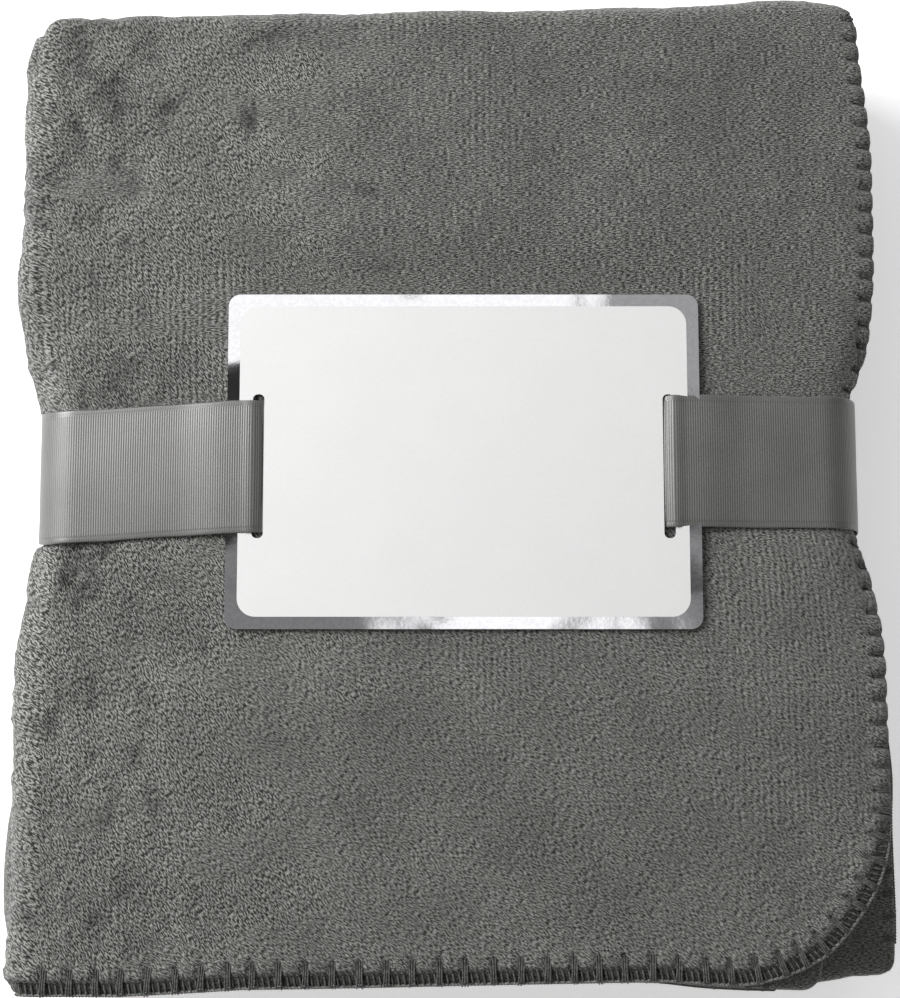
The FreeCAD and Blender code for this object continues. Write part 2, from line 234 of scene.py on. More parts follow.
def along_strip(u):
    """Place of the folded strip's middle, in X and Z, and the direction of its upper side."""
    u = np.asarray(u, float)
    x, z, nx, nz = np.zeros((4, *u.shape))
    start, side = 0.0, -1
    for leaf in range(LEAVES):
        height = PACK_TOP - LEAF * (leaf + 0.5)
        run = STRIP_RUNS[leaf]
        here = u >= start - 1e-9
        begin = EDGE_RIGHT if leaf == 0 else (LEFT_CENTRE if side > 0 else RIGHT_CENTRE)
        x = np.where(here, begin + side * (u - start), x)
        z = np.where(here, height, z)
        nx = np.where(here, 0.0, nx)
        nz = np.where(here, -side, nz)
        start += run
        if leaf < LEAVES - 1:
            here = u > start
            turn = np.clip((u - start) / STRIP_TURN, 0, math.pi)
            centre = LEFT_CENTRE if side < 0 else RIGHT_CENTRE
            out, up = side * np.sin(turn), np.cos(turn)
            x = np.where(here, centre + STRIP_TURN * out, x)
            z = np.where(here, height - STRIP_TURN + STRIP_TURN * up, z)
            # The first leaf's upper side is outside on a left turn and inside on a right one.
            nx = np.where(here, -side * out, nx)
            nz = np.where(here, -side * up, nz)
            start += STRIP_ARC
        side = -side
    return x, z, nx, nz


def across_strip(v):
    """Place along Y and offset from the strip's middle of the four plies, out and back."""
    v = np.asarray(v, float)
    y, w = EDGE_FOOT + v, np.full_like(v, OUTER_PLY)
    turns = (
        (1, HEAD_CENTRE, 0.0, OUTER_PLY, 1),
        (3, FOOT_CENTRE, -PLY, INNER_PLY, -1),
        (5, HEAD_CENTRE, 0.0, INNER_PLY, 1),
    )
    for step, centre, middle, radius, side in turns:
        turn = np.clip((v - WIDTH_MARKS[step]) / radius, 0, math.pi)
        here = v > WIDTH_MARKS[step]
        y = np.where(here, centre + side * radius * np.sin(turn), y)
        first = 1 if step == 1 else -1
        w = np.where(here, middle + first * radius * np.cos(turn), w)
        finish = WIDTH_MARKS[step + 1]
        y = np.where(v > finish, centre - side * (v - finish), y)
    return y, w


def round_corner(x, y, centre_x, centre_y, side_x, side_y):
    """Draws a square corner of the cloth in to a round one."""
    px = np.clip((x - centre_x) * side_x, 0, None)
    py = np.clip((y - centre_y) * side_y, 0, None)
    reach = np.maximum(px, py)
    length = np.maximum(np.hypot(px, py), 1e-9)
    inside = (px > 0) & (py > 0)
    scale = np.where(inside, reach / length, 1.0)
    rx, ry = centre_x + side_x * px * scale, centre_y + side_y * py * scale
    return np.where(inside, rx, x), np.where(inside, ry, y)


def sway(x):
    """How far the ribbon's middle lies off its straight line on the front."""
    return 1.6 * smooth((x - 30) / 40) - 3.0 * smooth((-x - 50) / 75)


def waist(y, off=0.0):
    """How far the cloth is drawn in by the ribbon, from 0 to 1."""
    away = np.clip((np.abs(y - RIBBON_Y - off) - RIBBON_HALF) / WAIST_REACH, 0, 1)
    return (1 - away) ** 2


def card_seat(x, y):
    """How far the cloth is pressed down by the card in its whole travel, from 0 to 1."""
    from_card = x - CARD_MIDDLE[0]
    beyond = np.maximum(from_card - CARD_TRAVEL[1], -from_card + CARD_TRAVEL[0])
    away_x = np.clip(beyond - CARD_HALF[0], 0, None)
    away_y = np.clip(np.abs(y - CARD_MIDDLE[1]) - CARD_HALF[1], 0, None)
    return 1 - smooth(np.hypot(away_x, away_y) / SEAT_REACH)


def waist_crown(x):
    """How far the ribbon and the cloth under it fall away towards the pack's sides."""
    return 2.4 * smooth((np.abs(x) - 40) / (WAIST_HALF - 40))


def levels(x, y):
    """Heights of the pack's top and underside at a place."""
    ribbon, ribbon_behind_pack = waist(y, sway(x)), waist(y)
    turn = np.clip((np.abs(x) - (WAIST_HALF - WAIST_ROUND)) / WAIST_ROUND, 0, 0.97)
    drop = WAIST_ROUND * (1 - np.sqrt(1 - turn**2)) + waist_crown(x)
    crown = CROWN * (1 - (x / HALF_WIDTH) ** 2) * (1 - 0.5 * (y / HALF_LENGTH) ** 2)
    top = PACK_TOP - EDGE_SINK + crown + 0.9 * noise(x / 55.0 + 3, y / 48.0 + 7, 11)
    top = top - 3.2 * smooth(1 - np.hypot(x - EDGE_RIGHT, y + HALF_LENGTH) / CORNER_REACH)
    seat = card_seat(x, y)
    top = top * (1 - seat) + (WAIST_TOP - 0.35) * seat
    top = top * (1 - ribbon) + (WAIST_TOP - 0.1 - drop) * ribbon
    low = (WAIST_LOW + drop - waist_crown(x)) * ribbon_behind_pack
    return top, low


def shaped(x, y, z):
    """The drawn-in place of a point of the square pack, and how far it is flattened."""
    front = smooth((z - 40) / 20)
    ribbon = waist(y, sway(x) * front)
    ribbon = np.where((x < 0) & (ribbon < 1), ribbon * (1 - 0.5 * front), ribbon)
    side = np.sign(x)
    out = (np.abs(x) / EDGE_RIGHT) ** 5
    deep = np.clip(z / PACK_TOP, 0, 1)
    head = smooth((y + 30) / (HALF_LENGTH + 30))
    foot = smooth(-(y + 20) / (HALF_LENGTH - 20))
    draw = (EDGE_RIGHT - WAIST_HALF + np.where(side < 0, 0.4, 2.4)) * ribbon
    upper_right = 3.4 * smooth((y - 30) / 30) + 3.8 * smooth((y - 95) / 50)
    draw = draw + np.where(side < 0, 0.0, upper_right) * (1 - ribbon)
    lower_part = smooth(-(y + 12) / 25) * (1 - 0.6 * smooth(-(y + 95) / 40))
    draw = draw + np.where(side < 0, 1.5, 3.4) * lower_part * (1 - ribbon)
    # The second folded layer on the left stands out beyond the first towards the foot.
    second = smooth((0.68 - deep) / 0.05) * smooth((deep - 0.1) / 0.3)
    bulge = np.where(side < 0, 7.5, 0.0) * second
    bulge = bulge * smooth(-(y + 62) / 50) * smooth((y + 152) / 30)
    x2 = x - side * out * (draw - bulge)
    y2 = y + head * np.interp(x, HEAD_EDGE_X, HEAD_EDGE_Y)
    y2 = y2 + foot * np.interp(x, FOOT_EDGE_X, FOOT_EDGE_Y)
    top, low = levels(x2, y2)
    flat = (top - low) / PACK_TOP
    return x2, y2, low + z * flat, flat


def settle(x, y, z, u, v, w):
    """Where a point of the square pack really lies, and how far it is flattened there."""
    # Every leaf and ply lies a little differently from its neighbours.
    lower = 0.3 + 0.7 * smooth((u - RUN_END) / STRIP_ARC)
    corner = smooth(1 - np.hypot(x - EDGE_RIGHT, y + HALF_LENGTH) / 75.0)
    near_side = smooth((60 - u) / 45)
    under = smooth(-w / INNER_PLY + 1) * (u < RUN_END)
    x = x + under * near_side * (2.6 * smooth((-62 - y) / 30) - 5.0 * smooth((y + 75) / 35))
    # The last ply's corner is tucked in under the first one's.
    last = (v > SHEET_WIDTH - PLY_RUN_EDGE) & (u < RUN_END)
    x = x - np.where(last, 23.0, 0.0) * smooth((-78 - y) / 62) * smooth((95 - u) / 95)
    first = (v < PLY_RUN_EDGE) & (u < RUN_END)
    sunk = -20.0 * np.clip(z / PACK_TOP, 0, 1) ** 2
    y = y - np.where(last, 1.0, 0.0) * smooth((80 - u) / 40) * smooth((-120 - y) / 20)
    z = z + np.where(first, 4.2, np.where(last, -1.2, sunk)) * corner
    # The free side edge of the first ply curls down.
    s, d = from_edge(x, y)
    curl = smooth((SIDE_LENGTH + 12 - s) / 50) * (v < PLY_RUN_EDGE) * (u < RUN_END)
    z = z - curl * 1.4 * np.clip(1 - d / 6.5, 0, 1.2) ** 2
    x = x + lower * 1.7 * noise(u / 160.0, y / 60.0, 21)
    x = x + 0.5 * lower * noise(u / 40.0, v / 45.0, 22)
    y = y + lower * 1.3 * noise(v / 150.0, x / 70.0, 23)
    y = y + 0.5 * lower * noise(u / 50.0, v / 45.0, 24)
    x, y, z, flat = shaped(x, y, z)
    return np.stack([x, y, z], -1), flat


def soft_corner(x, y, side_x, side_y, radius):
    """The place with one corner of the folded pack drawn in."""
    centre_x = TURN_LEFT + radius if side_x < 0 else EDGE_RIGHT - radius
    centre_y = side_y * (HALF_LENGTH - 1.0 - radius)
    return round_corner(x, y, centre_x, centre_y, side_x, side_y)


def cloth_middle(u, v):
    """The middle of the cloth at u, v, and how far it is flattened there."""
    x, z, nx, nz = along_strip(u)
    y, w = across_strip(v)
    x, z, y, w, nx, nz = np.broadcast_arrays(x, z, y, w, nx, nz)
    leaf = np.searchsorted(LEAF_ENDS, u)
    x = x + w * nx
    z = z + w * nz
    # The sheet's own corners are round, and the folded corners are soft.
    end_leaf = (leaf == 0) | (leaf == LEAVES - 1)
    outer = np.broadcast_to(v < WIDTH_MARKS[1], x.shape)
    last = np.broadcast_to(v > WIDTH_MARKS[6], x.shape)
    for chosen, radius in ((end_leaf & outer, FREE_CORNER), (end_leaf & last, LAST_CORNER)):
        rx, ry = round_corner(x, y, EDGE_RIGHT - radius, EDGE_FOOT + radius, 1, -1)
        x, y = np.where(chosen, rx, x), np.where(chosen, ry, y)
    free = end_leaf & (outer | last)
    for side_x, side_y, radius in SOFT_CORNERS:
        if (side_x, side_y) == (-1, -1):
            radius = np.where(leaf == 0, radius, LOWER_CORNER)
        rx, ry = soft_corner(x, y, side_x, side_y, radius)
        keep = free & (side_x > 0) & (side_y < 0)
        x, y = np.where(keep, x, rx), np.where(keep, y, ry)
    return settle(x, y, z, u, v, w)


# ---- edge stitching

SIDE_LENGTH = HALF_LENGTH - 2.0 - ROUND_Y
ARC_LENGTH = FREE_CORNER * math.pi / 2
FOOT_LENGTH = ROUND_X - (TURN_LEFT + 4.0)
EDGE_LENGTH = SIDE_LENGTH + ARC_LENGTH + FOOT_LENGTH


def stitch_places():
    """Where the blanket stitches are, along the edge from the head, closer on the side."""
    draw = np.random.RandomState(5)
    places, at = [], 3.0
    while at < EDGE_LENGTH - 2:
        places.append(at + draw.uniform(-0.45, 0.45))
        at += SIDE_PITCH if at < SIDE_LENGTH else FOOT_PITCH
    return np.array(places)


STITCHES = stitch_places()


def on_edge(s):
    """The flat top ply's free edge at s along it, and the direction in towards the cloth."""
    s = np.asarray(s, float)
    angle = -np.clip((s - SIDE_LENGTH) / FREE_CORNER, 0, math.pi / 2)
    x = ROUND_X + FREE_CORNER * np.cos(angle) - np.clip(s - SIDE_LENGTH - ARC_LENGTH, 0, None)
    y = ROUND_Y + FREE_CORNER * np.sin(angle) + np.clip(SIDE_LENGTH - s, 0, None)
    return x, y, -np.cos(angle), -np.sin(angle)


def from_edge(x, y):
    """How far along the free edge a point of the flat top ply is, and how far in from it."""
    px, py = x - ROUND_X, ROUND_Y - y
    corner = (px > 0) & (py > 0)
    right = EDGE_RIGHT - x < y - EDGE_FOOT
    s = np.where(right, SIDE_LENGTH - (y - ROUND_Y), SIDE_LENGTH + ARC_LENGTH + (ROUND_X - x))
    d = np.where(right, EDGE_RIGHT - x, y - EDGE_FOOT)
    s = np.where(corner, SIDE_LENGTH + FREE_CORNER * np.arctan2(py, px), s)
    d = np.where(corner, FREE_CORNER - np.hypot(px, py), d)
    return s, d


def nearest_stitch(s):
    """Distance along the edge to the nearest stitch."""
    after = np.clip(np.searchsorted(STITCHES, s), 1, len(STITCHES) - 1)
    return np.minimum(np.abs(s - STITCHES[after - 1]), np.abs(s - STITCHES[after]))


def side_share(s):
    """Where the top ply's stitches are tucked in under the puffed side edge, from 0 to 1."""
    return smooth((SIDE_LENGTH + 25 - s) / 40)


def edge_pinch(s, d):
    """How hard the yarn presses the cloth, from 0 to 1."""
    long = 8.6 - 2.2 * side_share(s)
    return np.exp(-((nearest_stitch(s) / 0.95) ** 2)) * smooth((long - d) / 2.0)


# Crushed spots in the pile: place, size along and across, turn in degrees and depth.
CRUSHED = (
    (-55.0, 138.0, 10.0, 4.0, 15.0, 0.9),
    (-60.0, 113.0, 2.2, 5.5, -10.0, 1.3),
    (-84.0, 118.0, 5.0, 2.5, 30.0, 0.8),
    (-24.0, 90.0, 6.5, 2.2, -12.0, 0.8),
    (-103.0, 119.0, 4.0, 10.0, 25.0, 1.1),
    (-112.0, 108.0, 3.0, 8.0, 20.0, 0.9),
    (-112.0, -27.0, 2.6, 13.0, 12.0, 1.5),
    (-104.0, -20.0, 2.6, 9.0, -20.0, 1.2),
    (-72.0, -49.0, 1.3, 4.5, 5.0, 0.8),
    (-20.0, 66.0, 8.0, 2.0, 5.0, 0.4),
    (60.0, 122.0, 9.0, 3.0, -5.0, 0.35),
)


def crushed(x, y):
    """How hard the pile is crushed at a place, in millimetres of depth."""
    depth_here = np.zeros(np.broadcast(x, y).shape)
    ragged = 1 + 0.7 * noise(x / 4.0, y / 4.0, 36)
    for cx, cy, along, across, turn, depth in CRUSHED:
        c, s = math.cos(math.radians(turn)), math.sin(math.radians(turn))
        px, py = (x - cx) * c + (y - cy) * s, -(x - cx) * s + (y - cy) * c
        spread = (px / along) ** 2 + (py / across) ** 2
        depth_here = depth_here + depth * np.exp(-spread * ragged)
    ruffled = smooth((-x - 62) / 45)
    bent = x / 5.0 + 0.4 * noise(x / 9.0, y / 9.0, 48)
    furrow = np.clip(noise(bent, y / 9.0, 46) - 0.1, 0, 1)
    return depth_here + ruffled * furrow


def relief(x, y):
    """Height of the top ply's pile above the plain cloth, from swells down to clumps."""
    wander = 6.0 * noise(x / 17.0, y / 17.0, 31)
    swell = 0.55 * noise(x / 26.0, y / 21.0, 32) + 0.32 * noise((x + wander) / 9.0, y / 7.5, 33)
    clump = 0.16 * noise((x + wander) / 3.4, (y - wander) / 2.3, 34)
    clump = clump + 0.10 * noise(x / 1.9, y / 1.4, 35)
    rough = 1 + 1.1 * smooth((-x - 55) / 50)
    return ((swell * 0.7 + clump) * rough - crushed(x, y)) * (1 - 0.75 * card_seat(x, y))


# ---- materials

class Shader:
    """The node tree of a material or world, with short ways to add and join nodes."""

    def __init__(self, owner):
        owner.use_nodes = True
        self.owner = owner
        self.tree = owner.node_tree

    def node(self, kind, inputs=None, **settings):
        made = self.tree.nodes.new(kind)
        for key, value in settings.items():
            setattr(made, key, value)
        for key, value in (inputs or {}).items():
            self.feed(made.inputs[key], value)
        return made

    def feed(self, socket, value):
        if isinstance(value, bpy.types.NodeSocket):
            self.tree.links.new(value, socket)
        else:
            socket.default_value = value

    def object_place(self):
        return self.node("ShaderNodeTexCoord").outputs["Object"]

    def mapped(self, place, scale=(1, 1, 1), turn=0.0):
        return self.node(
            "ShaderNodeMapping", {"Vector": place, "Scale": scale, "Rotation": (0, 0, turn)}
        ).outputs[0]

    def cloth_place(self, scale=(1, 1, 1), turn=0.0):
        """Place on the flat cloth, in metres, scaled and turned."""
        place = self.node("ShaderNodeUVMap", uv_map="cloth").outputs[0]
        return self.mapped(place, scale, turn)

    def noise(self, place, scale=1.0, detail=2.0, roughness=0.5):
        return self.node(
            "ShaderNodeTexNoise",
            {"Vector": place, "Scale": scale, "Detail": detail, "Roughness": roughness},
        ).outputs["Fac"]

    def math(self, operation, a, b=0.0, c=0.0):
        return self.node("ShaderNodeMath", {0: a, 1: b, 2: c}, operation=operation).outputs[0]

    def times(self, first, *others):
        """The product of two or more values."""
        for other in others:
            first = self.math("MULTIPLY", first, other)
        return first

    def centred(self, value):
        return self.math("SUBTRACT", value, 0.5)

    def span(self, value, low, high, to_low=0.0, to_high=1.0):
        """A smooth step from to_low to to_high, as the value goes from low to high."""
        ends = {"From Min": low, "From Max": high, "To Min": to_low, "To Max": to_high}
        return self.node(
            "ShaderNodeMapRange", {"Value": value, **ends}, interpolation_type="SMOOTHSTEP"
        ).outputs[0]

    def vector(self, operation, a, b=(0.0, 0.0, 0.0)):
        return self.node("ShaderNodeVectorMath", {0: a, 1: b}, operation=operation).outputs

    def scaled(self, vector, factor):
        made = self.node("ShaderNodeVectorMath", {0: vector}, operation="SCALE")
        self.feed(made.inputs["Scale"], factor)
        return made.outputs[0]

    def split(self, vector):
        return self.node("ShaderNodeSeparateXYZ", {0: vector}).outputs

    def blend(self, share, a, b):
        """A value between two others."""
        return self.node("ShaderNodeMix", {0: share, 2: a, 3: b}).outputs[0]

    def mix(self, share, a, b):
        """A colour between two others."""
        made = self.node("ShaderNodeMix", data_type="RGBA")
        self.feed(made.inputs[0], share)
        self.feed(made.inputs[6], a)
        self.feed(made.inputs[7], b)
        return made.outputs[2]

    def bump(self, height, distance, strength=1.0, normal=None):
        made = self.node(
            "ShaderNodeBump", {"Height": height, "Distance": distance, "Strength": strength}
        )
        if normal is not None:
            self.feed(made.inputs["Normal"], normal)
        return made.outputs[0]

    def finish(self, **values):
        """Feeds the surface shader's sockets and gives the material back."""
        surface = self.tree.nodes["Principled BSDF"]
        for key, value in values.items():
            self.feed(surface.inputs[key.replace("_", " ")], value)
        return self.owner


def new_material(name):
    return Shader(bpy.data.materials.new(name))


def fleece_material(name, dark, light):
    """Short coral-fleece tufts: fine strokes that lie in brushed patches, over faint knit rows."""
    m = new_material(name)
    flat = m.cloth_place()
    stir = m.node("ShaderNodeTexNoise", {"Vector": flat, "Scale": 180.0, "Detail": 1.0})
    shift = m.vector("SUBTRACT", stir.outputs["Color"], (0.5, 0.5, 0.5))[0]
    loose = m.vector("ADD", flat, m.scaled(shift, 0.0010))[0]

    def strokes(turn, along, across):
        """Tufts turned by so many degrees, with so many to a metre along and across them."""
        turned = m.mapped(loose, turn=math.radians(turn))
        return m.noise(m.mapped(turned, (along, across, 1)), roughness=0.62)

    patch = m.noise(flat, scale=30.0)
    other = m.noise(m.cloth_place((24, 52, 1), 0.4))
    parts = m.split(flat)
    # The pile is brushed one way towards the foot and another towards the head.
    level = m.math("MULTIPLY_ADD", m.centred(patch), 0.35, parts[1])
    pile = m.blend(m.span(level, -0.01, 0.07), strokes(34, 820, 3200), strokes(-2, 820, 3300))
    # Towards the left fold the pile is coarser and stands up more.
    leftward = m.math("MULTIPLY_ADD", m.centred(other), 0.30, parts[0])
    ruffled = m.span(leftward, -0.035, -0.085)
    pile = m.blend(ruffled, pile, strokes(53, 860, 2550))
    # Knit rows show through the pile in places.
    rows = m.node(
        "ShaderNodeTexWave",
        {"Vector": loose, "Scale": 158.0, "Distortion": 0.8, "Detail": 1.0},
        bands_direction="X",
    ).outputs["Fac"]
    shown = m.times(m.span(m.noise(flat, scale=13.0, detail=1.0), 0.46, 0.68), 0.06)
    height = m.math("ADD", pile, m.times(m.centred(rows), shown))
    # Painted shade and highlight: the colour follows the pile's height, darker between the tufts
    # and lighter on them, on top of the bump.
    fine = m.span(height, 0.395, 0.625)
    # Towards the left the tufts' light and dark are painted stronger: painted shading from the
    # light on that side, where the pile is also coarser.
    fine = m.math("ADD", fine, m.times(ruffled, m.times(m.centred(fine), 0.35)))
    tone = m.mix(fine, (*dark, 1), (*light, 1))
    brushed = m.span(m.noise(flat, scale=30.0, detail=4.0, roughness=0.6), 0.3, 0.7, 0.86, 1.12)
    fibre = m.span(m.noise(flat, scale=4200.0, detail=1.0), 0.3, 0.7, 0.6, 1.4)
    # Painted shade: crushed dents and furrows in the pile are darkened in colour by their depth,
    # on top of the real dents in the mesh.
    lie = m.node("ShaderNodeAttribute", attribute_name="crushed").outputs["Fac"]
    uneven = m.span(m.noise(m.cloth_place((260, 260, 1))), 0.35, 0.62, 0.25, 1.0)
    dent_shade = m.times(m.math("MINIMUM", lie, 1.1), m.times(uneven, 0.62))
    # Little light reaches the cloth between the yarns.
    painted_yarn_shade = m.node("ShaderNodeAttribute", attribute_name="painted_yarn_shade").outputs["Fac"]
    painted_shade = m.times(m.math("SUBTRACT", 1.0, dent_shade), m.span(painted_yarn_shade, 0.2, 0.9, 1.0, 0.26))
    return m.finish(
        Base_Color=m.scaled(tone, m.times(brushed, fibre, painted_shade)),
        Roughness=0.95,
        Normal=m.bump(height, 0.0011, 0.8),
        Sheen_Weight=0.25,
        Sheen_Roughness=0.5,
        Specular_IOR_Level=0.15,
    )


def yarn_material(name, dark, light):
    """Wool-like yarn with a fine twist."""
    m = new_material(name)
    place = m.object_place()
    hair = m.noise(place, scale=1500.0, detail=3.0, roughness=0.65)
    tone = m.mix(m.span(hair, 0.3, 0.7), (*dark, 1), (*light, 1))
    return m.finish(
        Base_Color=tone,
        Roughness=0.85,
        Normal=m.bump(hair, 0.0004, 0.8),
        Sheen_Weight=0.25,
        Specular_IOR_Level=0.2,
    )


def ribbon_material():
    """Grosgrain: fine ribs across the ribbon, a denser selvage at each edge, a soft satin glow."""
    m = new_material("grosgrain")
    parts = m.split(m.cloth_place())
    ribs = m.span(m.math("SINE", m.times(parts[0], 2 * math.pi / (RIB_PITCH * MM))), -1, 1)
    across = m.math("ABSOLUTE", parts[1])
    half = RIBBON_HALF * MM
    selvage = m.span(across, half - 0.0022, half - 0.0016)
    from_line = m.math("ABSOLUTE", m.math("SUBTRACT", across, half - 0.0021))
    line = m.math("SUBTRACT", 1.0, m.span(from_line, 0.0, 0.0005))
    thread = m.noise(m.cloth_place((900, 2600, 1)))
    worn = m.noise(m.cloth_place((60, 90, 1)), detail=3.0, roughness=0.6)
    tone = m.span(thread, 0.25, 0.75)
    tone = m.mix(tone, (0.052, 0.053, 0.048, 1), (0.084, 0.085, 0.078, 1))
    # Painted highlight: the rib crests are painted lighter, along with their bump.
    tone = m.mix(m.times(ribs, 0.42), tone, (0.21, 0.21, 0.20, 1))
    tone = m.mix(m.times(line, 0.4), tone, (0.05, 0.05, 0.046, 1))
    ridges = m.times(ribs, m.math("SUBTRACT", 1.0, selvage))
    height = m.math("ADD", ridges, m.times(thread, 0.3))
    return m.finish(
        Base_Color=m.scaled(tone, m.span(worn, 0.3, 0.7, 0.93, 1.06)),
        Roughness=0.41,
        Normal=m.bump(height, 0.00010, 0.5),
        Sheen_Weight=0.1,
        Sheen_Roughness=0.3,
        Specular_IOR_Level=1.0,
    )


def foil_material():
    """Silver mirror foil on card: bright, with the slight waves of the board under it."""
    m = new_material("mirror_foil")
    place = m.object_place()
    waves = m.noise(place, scale=22.0, detail=2.0)
    fine = m.noise(place, scale=900.0, detail=2.0)
    tone = m.mix(m.span(fine, 0.3, 0.7), (0.80, 0.80, 0.83, 1), (0.88, 0.88, 0.90, 1))
    normal = m.bump(fine, 0.00002, 0.15, m.bump(waves, 0.0016, 0.5))
    return m.finish(Base_Color=tone, Metallic=1.0, Roughness=0.05, Normal=normal)


def paper_material(name, tone):
    """Uncoated white print or board with a faint fibre grain."""
    m = new_material(name)
    place = m.object_place()
    fibre = m.noise(place, scale=1300.0, detail=3.0)
    cloud = m.noise(place, scale=60.0, detail=2.0)
    low = tuple(c * 0.965 for c in tone)
    grain = m.span(m.math("ADD", fibre, m.times(cloud, 0.6)), 0.5, 1.1)
    return m.finish(
        Base_Color=m.mix(grain, (*low, 1), (*tone, 1)),
        Roughness=m.span(fibre, 0.3, 0.7, 0.5, 0.62),
        Normal=m.bump(fibre, 0.00006, 0.5),
    )


def tape_material():
    """Clear tape over the ribbon's lap, with faint streaks."""
    m = new_material("clear_tape")
    place = m.object_place()
    streak = m.noise(place, scale=500.0, detail=2.0)
    return m.finish(
        Base_Color=m.mix(streak, (0.62, 0.62, 0.60, 1), (0.74, 0.74, 0.71, 1)),
        Roughness=0.3,
        Normal=m.bump(streak, 0.00005, 0.4),
    )


# ---- cloth pieces

FLEECE_TOP = fleece_material("fleece_top", (0.020, 0.020, 0.018), (0.305, 0.308, 0.288))
# Painted shade: the plies and leaves under the top ply are the same cloth, given a darker, shaded
# copy of its fleece.
FLEECE_UNDER_SHADED = fleece_material("fleece_under_shaded", (0.040, 0.040, 0.037), (0.240, 0.242, 0.227))
YARN = yarn_material("edge_yarn", (0.030, 0.030, 0.028), (0.125, 0.126, 0.119))
# Painted highlight: the top ply's rim yarns get a lighter copy of the edge yarn, for the light
# caught along the outer edge.
YARN_RIM_HIGHLIGHT = yarn_material("edge_yarn_painted_highlight", (0.070, 0.070, 0.066), (0.260, 0.262, 0.248))
GROSGRAIN = ribbon_material()

TOP_LEAF_END = RUN_END + STRIP_ARC
TOP_PLY_END = PLY_RUN_EDGE + HEAD_OUTER_ARC
TOP_STEP = 1.06
TURN_PARTS = 9
PLY_TURN_PARTS = 6
RUN_CLOSE = (0.0, 1.2, 3.0, 6.0, 10.0, 15.0)
PLY_CLOSE = (0.0, 0.7, 1.6, 4.0, 8.0)
EDGE_CLOSE = (0.0, 0.3, 0.7, 1.2, 1.8)


def free_edge_distance(u, v):
    return np.minimum(np.minimum(u, STRIP_LENGTH - u), np.minimum(v, SHEET_WIDTH - v))


def rim(distance):
    """Share of the full thickness near a free edge, so that the edge is round."""
    inward = 1 - np.clip(distance / (CLOTH_THICK * 0.6), 0, 1)
    return np.maximum(np.sqrt(1 - inward**2), 0.12)


def cloth_piece(name, across, along, material, fine):
    """A closed shell over part of the sheet. across and along are its u and v lines.

    A fine piece is part of the uppermost ply, with its pile, puffs and pinched edge.
    """
    u, v = np.meshgrid(across, along, indexing="ij")
    middle, flat = cloth_middle(u, v)
    normal = grid_normals(middle)
    half = CLOTH_THICK / 2 * rim(free_edge_distance(u, v)) * flat
    flat_x, flat_y = EDGE_RIGHT - u, EDGE_FOOT + v
    if fine:
        rx, ry = round_corner(flat_x, flat_y, ROUND_X, ROUND_Y, 1, -1)
        s, d = from_edge(rx, ry)
        pinch = edge_pinch(s, d)
        side = side_share(s)
        turned = np.exp(-(((s - SIDE_LENGTH - 45.0) / 42.0) ** 2))
        puff = (0.5 + 0.1 * side + 0.5 * turned) * (1 - pinch)
        puff = puff * np.exp(-(((d - 6.4 + 3.6 * side) / 2.4) ** 2))
        rolled = (1 - 0.45 * smooth((4.0 - d) / 1.2) * (1 - side)) * (1 - 0.5 * pinch)
        upper = half * rolled + puff + relief(flat_x, flat_y) * smooth((d - 3.5) / 3.0)
        under = half * (1 - 0.4 * pinch) + 0.12 * noise(flat_x / 3.0, flat_y / 2.4, 41)
        _, _, in_x, in_y = on_edge(s)
        swell = 0.22 * side * (1 + 0.9 * noise(s / 7.0, 0.5, 45))
        notch = (0.3 - 0.1 * side) * pinch * smooth((6.0 - d) / 6.0)
        notch = notch - swell * smooth((4.5 - d) / 4.5)
        down = -(0.3 + 0.2 * side) * pinch
        middle = middle + np.stack([in_x * notch, in_y * notch, down], -1)
    else:
        upper = half + 0.22 * noise(u / 7.0, v / 6.0, 42)
        upper = upper + 0.12 * noise(u / 2.6, v / 2.6, 43)
        under = half + 0.1 * noise(u / 6.0, v / 6.0, 44)
    outer = middle + normal * upper[..., None]
    inner = middle - normal * under[..., None]
    uv = np.stack([rx, ry] if fine else [flat_x, flat_y], -1)
    points = np.concatenate([outer, inner])
    piece = mesh_object(name, points, shell_faces(*u.shape), material, np.concatenate([uv, uv]))
    if fine:
        # Painted shade: this darkens the cloth under and between the yarns and along the rolled
        # edge, where little light reaches.
        painted_yarn_shade = np.maximum(pinch, smooth((4.3 - d) / 0.7) * (0.9 - 0.8 * side))
        # The crushed depth also darkens the pile's dents in the fleece colour, as painted shade.
        for key, value in (("crushed", crushed(flat_x, flat_y)), ("painted_yarn_shade", painted_yarn_shade)):
            layer = piece.data.attributes.new(key, "FLOAT", "POINT")
            value = np.concatenate([value.ravel(), np.zeros(value.size)])
            layer.data.foreach_set("value", value.astype(np.float32))
    return piece


def even(start, end, step):
    """Evenly spaced numbers from start to end, about a step apart."""
    return np.linspace(start, end, max(2, int(round((end - start) / step)) + 1))


def sheet_lines(steps, step, close, turn_parts, first=0, last=None):
    """Lines over the sheet's runs and turns, first to last, closer together at a run's ends."""
    lines, start = [], 0.0
    for part, length in enumerate(steps):
        if part % 2:
            lines.append(np.linspace(start, start + length, turn_parts + 1))
        else:
            ends = np.array(close)
            run = np.concatenate([ends, even(close[-1], length - close[-1], step), length - ends])
            lines.append(start + np.round(run, 4))
        start += length
    return np.unique(np.round(np.concatenate(lines[first:last]), 4))


def width_lines(step, from_v):
    """v lines from from_v to the sheet's far edge."""
    lines = sheet_lines(WIDTH_STEPS, step, PLY_CLOSE, PLY_TURN_PARTS)
    return np.concatenate([[from_v], lines[lines > from_v + 0.3]])


